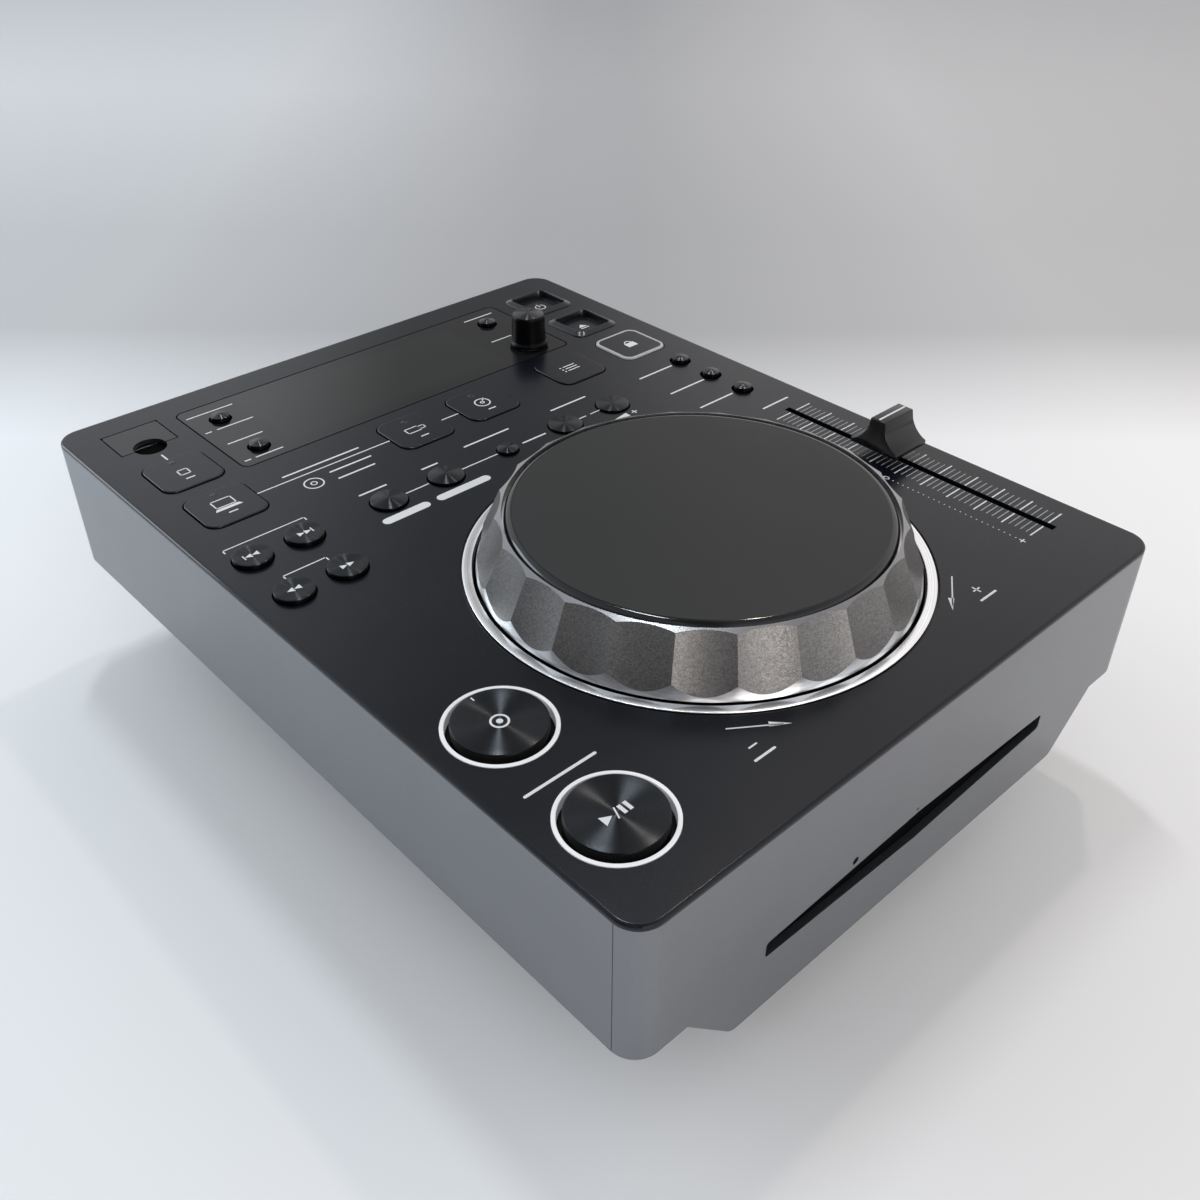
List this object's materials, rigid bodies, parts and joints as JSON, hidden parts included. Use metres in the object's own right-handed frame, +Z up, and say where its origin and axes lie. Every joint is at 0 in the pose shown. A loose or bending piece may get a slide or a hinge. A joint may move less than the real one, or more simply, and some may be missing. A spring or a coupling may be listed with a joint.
{
  "type": "tabletop disc player",
  "caption": "Slot-loading tabletop disc player for mixing music, with a large scalloped jog wheel, a tempo slider, round and square buttons and a smoked display window.",
  "frame": {"origin": "centre of the bounding box underside, on the soles of the feet", "axes": "+X right seen from the front, +Y to the back, +Z up"},
  "size_m": [0.2186, 0.2964, 0.1079],
  "materials": {
    "deck_satin": "satin blue-black paint with a fine grain",
    "wall_satin": "satin dark grey paint",
    "steel_black": "black powder coat",
    "steel_plain": "zinc-plated sheet steel",
    "foot_rubber": "matt black rubber",
    "screw_steel": "zinc-plated steel",
    "window_smoke": "glossy smoked acrylic",
    "display_glass": "dark display glass in a black holder",
    "board_green": "green solder mask",
    "ring_lens": "milky light-guide plastic",
    "guard_satin": "satin black plastic",
    "trim_silver": "silver paint",
    "dial_silver": "metal-flake silver paint",
    "plate_gloss": "black plastic, matt on top with a glossy rim",
    "shaft_steel": "turned steel",
    "inner_black": "black moulded plastic",
    "cap_gloss": "black, spun radially",
    "key_gloss": "black, lightly glossy",
    "knob_gloss": "glossy black",
    "slider_satin": "satin black plastic",
    "flap_satin": "satin black plastic",
    "socket_steel": "nickel-plated steel",
    "motor_steel": "plated steel cans",
    "jack_black": "black moulded sockets"
  },
  "bodies": {
    "root": {"top_panel": "deck_satin", "side_shell": "wall_satin", "front_fascia": "wall_satin", "rear_panel": "steel_black", "bottom_chassis": "steel_plain", "feet": "foot_rubber", "screws": "screw_steel", "display_window": "window_smoke", "display_module": "display_glass", "control_board": "board_green", "light_rings": "ring_lens", "button_guards": "guard_satin", "jog_trim_ring": "trim_silver", "jog_base": "inner_black", "selector_encoder": "steel_plain", "slider_housing": "steel_plain", "usb_socket": "socket_steel", "drive_frame": "steel_plain", "drive_motors": "motor_steel", "main_board": "board_green", "power_unit": "board_green", "rear_jacks": "jack_black"},
    "cue_button": {"cue_button": "cap_gloss"},
    "play_button": {"play_button": "cap_gloss"},
    "track_back_button": {"track_back_button": "cap_gloss"},
    "track_next_button": {"track_next_button": "cap_gloss"},
    "search_back_button": {"search_back_button": "cap_gloss"},
    "search_next_button": {"search_next_button": "cap_gloss"},
    "loop_in_button": {"loop_in_button": "cap_gloss"},
    "loop_out_button": {"loop_out_button": "cap_gloss"},
    "reloop_button": {"reloop_button": "cap_gloss"},
    "beat_less_button": {"beat_less_button": "cap_gloss"},
    "beat_more_button": {"beat_more_button": "cap_gloss"},
    "time_button": {"time_button": "cap_gloss"},
    "menu_button": {"menu_button": "cap_gloss"},
    "return_button": {"return_button": "cap_gloss"},
    "vinyl_button": {"vinyl_button": "cap_gloss"},
    "range_button": {"range_button": "cap_gloss"},
    "tempo_reset_button": {"tempo_reset_button": "cap_gloss"},
    "usb_stop_key": {"usb_stop_key": "key_gloss"},
    "laptop_key": {"laptop_key": "key_gloss"},
    "memory_key": {"memory_key": "key_gloss"},
    "disc_key": {"disc_key": "key_gloss"},
    "list_key": {"list_key": "key_gloss"},
    "lock_key": {"lock_key": "key_gloss"},
    "power_key": {"power_key": "key_gloss"},
    "eject_key": {"eject_key": "key_gloss"},
    "jog": {"jog_dial": "dial_silver", "jog_shaft": "shaft_steel"},
    "jog_plate": {"jog_plate": "plate_gloss"},
    "selector_shaft": {"selector_shaft": "shaft_steel"},
    "selector_knob": {"selector_knob": "knob_gloss"},
    "tempo_slider": {"slider_knob": "slider_satin", "slider_carriage": "shaft_steel"},
    "usb_flap": {"usb_flap": "flap_satin"},
    "feed_roller": {"feed_roller": "foot_rubber"},
    "turntable": {"turntable": "inner_black"},
    "disc_clamp": {"disc_clamp": "steel_plain"},
    "pickup_sled": {"pickup_sled": "inner_black"},
    "lead_screw": {"lead_screw": "shaft_steel"}
  },
  "joints": [
    {"name": "cue_press", "type": "slide", "parent": "root", "child": "cue_button", "axis": [0, 0, -1], "range_m": [0, 0.001], "stiffness_N_per_m": 800, "springref_m": -0.0008},
    {"name": "play_press", "type": "slide", "parent": "root", "child": "play_button", "axis": [0, 0, -1], "range_m": [0, 0.001], "stiffness_N_per_m": 800, "springref_m": -0.0008},
    {"name": "track_back_press", "type": "slide", "parent": "root", "child": "track_back_button", "axis": [0, 0, -1], "range_m": [0, 0.0006], "stiffness_N_per_m": 800, "springref_m": -0.0008},
    {"name": "track_next_press", "type": "slide", "parent": "root", "child": "track_next_button", "axis": [0, 0, -1], "range_m": [0, 0.0006], "stiffness_N_per_m": 800, "springref_m": -0.0008},
    {"name": "search_back_press", "type": "slide", "parent": "root", "child": "search_back_button", "axis": [0, 0, -1], "range_m": [0, 0.0006], "stiffness_N_per_m": 800, "springref_m": -0.0008},
    {"name": "search_next_press", "type": "slide", "parent": "root", "child": "search_next_button", "axis": [0, 0, -1], "range_m": [0, 0.0006], "stiffness_N_per_m": 800, "springref_m": -0.0008},
    {"name": "loop_in_press", "type": "slide", "parent": "root", "child": "loop_in_button", "axis": [0, 0, -1], "range_m": [0, 0.0006], "stiffness_N_per_m": 800, "springref_m": -0.0008},
    {"name": "loop_out_press", "type": "slide", "parent": "root", "child": "loop_out_button", "axis": [0, 0, -1], "range_m": [0, 0.0006], "stiffness_N_per_m": 800, "springref_m": -0.0008},
    {"name": "reloop_press", "type": "slide", "parent": "root", "child": "reloop_button", "axis": [0, 0, -1], "range_m": [0, 0.0006], "stiffness_N_per_m": 800, "springref_m": -0.0008},
    {"name": "beat_less_press", "type": "slide", "parent": "root", "child": "beat_less_button", "axis": [0, 0, -1], "range_m": [0, 0.0006], "stiffness_N_per_m": 800, "springref_m": -0.0008},
    {"name": "beat_more_press", "type": "slide", "parent": "root", "child": "beat_more_button", "axis": [0, 0, -1], "range_m": [0, 0.0006], "stiffness_N_per_m": 800, "springref_m": -0.0008},
    {"name": "time_press", "type": "slide", "parent": "root", "child": "time_button", "axis": [0, 0, -1], "range_m": [0, 0.0006], "stiffness_N_per_m": 800, "springref_m": -0.0008},
    {"name": "menu_press", "type": "slide", "parent": "root", "child": "menu_button", "axis": [0, 0, -1], "range_m": [0, 0.0006], "stiffness_N_per_m": 800, "springref_m": -0.0008},
    {"name": "return_press", "type": "slide", "parent": "root", "child": "return_button", "axis": [0, 0, -1], "range_m": [0, 0.0006], "stiffness_N_per_m": 800, "springref_m": -0.0008},
    {"name": "vinyl_press", "type": "slide", "parent": "root", "child": "vinyl_button", "axis": [0, 0, -1], "range_m": [0, 0.0006], "stiffness_N_per_m": 800, "springref_m": -0.0008},
    {"name": "range_press", "type": "slide", "parent": "root", "child": "range_button", "axis": [0, 0, -1], "range_m": [0, 0.0006], "stiffness_N_per_m": 800, "springref_m": -0.0008},
    {"name": "tempo_reset_press", "type": "slide", "parent": "root", "child": "tempo_reset_button", "axis": [0, 0, -1], "range_m": [0, 0.0006], "stiffness_N_per_m": 800, "springref_m": -0.0008},
    {"name": "usb_stop_press", "type": "slide", "parent": "root", "child": "usb_stop_key", "axis": [0, 0, -1], "range_m": [0, 0.0006], "stiffness_N_per_m": 800, "springref_m": -0.0008},
    {"name": "laptop_press", "type": "slide", "parent": "root", "child": "laptop_key", "axis": [0, 0, -1], "range_m": [0, 0.0006], "stiffness_N_per_m": 800, "springref_m": -0.0008},
    {"name": "memory_press", "type": "slide", "parent": "root", "child": "memory_key", "axis": [0, 0, -1], "range_m": [0, 0.0006], "stiffness_N_per_m": 800, "springref_m": -0.0008},
    {"name": "disc_press", "type": "slide", "parent": "root", "child": "disc_key", "axis": [0, 0, -1], "range_m": [0, 0.0006], "stiffness_N_per_m": 800, "springref_m": -0.0008},
    {"name": "list_press", "type": "slide", "parent": "root", "child": "list_key", "axis": [0, 0, -1], "range_m": [0, 0.0006], "stiffness_N_per_m": 800, "springref_m": -0.0008},
    {"name": "lock_press", "type": "slide", "parent": "root", "child": "lock_key", "axis": [0, 0, -1], "range_m": [0, 0.0006], "stiffness_N_per_m": 800, "springref_m": -0.0008},
    {"name": "power_press", "type": "slide", "parent": "root", "child": "power_key", "axis": [0, 0, -1], "range_m": [0, 0.0006], "stiffness_N_per_m": 800, "springref_m": -0.0008},
    {"name": "eject_press", "type": "slide", "parent": "root", "child": "eject_key", "axis": [0, 0, -1], "range_m": [0, 0.0006], "stiffness_N_per_m": 800, "springref_m": -0.0008},
    {"name": "jog_spin", "type": "hinge", "parent": "root", "child": "jog", "pos_m": [0.0011, -0.06015, 0.0897], "axis": [0, 0, 1], "continuous": true},
    {"name": "jog_touch", "type": "slide", "parent": "jog", "child": "jog_plate", "axis": [0, 0, -1], "range_m": [0, 0.0005], "stiffness_N_per_m": 4000, "springref_m": -0.0005},
    {"name": "selector_press", "type": "slide", "parent": "root", "child": "selector_shaft", "axis": [0, 0, -1], "range_m": [0, 0.0005], "stiffness_N_per_m": 1200, "springref_m": -0.0008},
    {"name": "selector_turn", "type": "hinge", "parent": "selector_shaft", "child": "selector_knob", "pos_m": [0.0599, 0.08705, 0.0897], "axis": [0, 0, 1], "continuous": true},
    {"name": "tempo_slide", "type": "slide", "parent": "root", "child": "tempo_slider", "axis": [0, 1, 0], "range_m": [-0.06, 0.04]},
    {"name": "usb_flap_open", "type": "hinge", "parent": "root", "child": "usb_flap", "pos_m": [-0.08735, 0.12685, 0.08885], "axis": [-1, 0, 0], "range_deg": [0, 105]},
    {"name": "roller_spin", "type": "hinge", "parent": "root", "child": "feed_roller", "pos_m": [-0.0017, -0.12425, 0.0413], "axis": [1, 0, 0], "continuous": true},
    {"name": "turntable_spin", "type": "hinge", "parent": "root", "child": "turntable", "pos_m": [-0.0017, -0.06425, 0.0467], "axis": [0, 0, 1], "continuous": true},
    {"name": "clamp_lift", "type": "hinge", "parent": "root", "child": "disc_clamp", "pos_m": [-0.0017, 0.00575, 0.0557], "axis": [-1, 0, 0], "range_deg": [0, 4], "stiffness_Nm_per_rad": 1, "springref_deg": -5.73},
    {"name": "pickup_slide", "type": "slide", "parent": "root", "child": "pickup_sled", "axis": [0, 1, 0], "range_m": [0, 0.034]},
    {"name": "screw_turn", "type": "hinge", "parent": "root", "child": "lead_screw", "pos_m": [0.0163, -0.05625, 0.0377], "axis": [0, 1, 0], "range_deg": [0, 6130]}
  ],
  "couplings": [
    {"joint": "screw_turn", "follows": "pickup_slide", "rad_per_m": 3141.6}
  ]
}
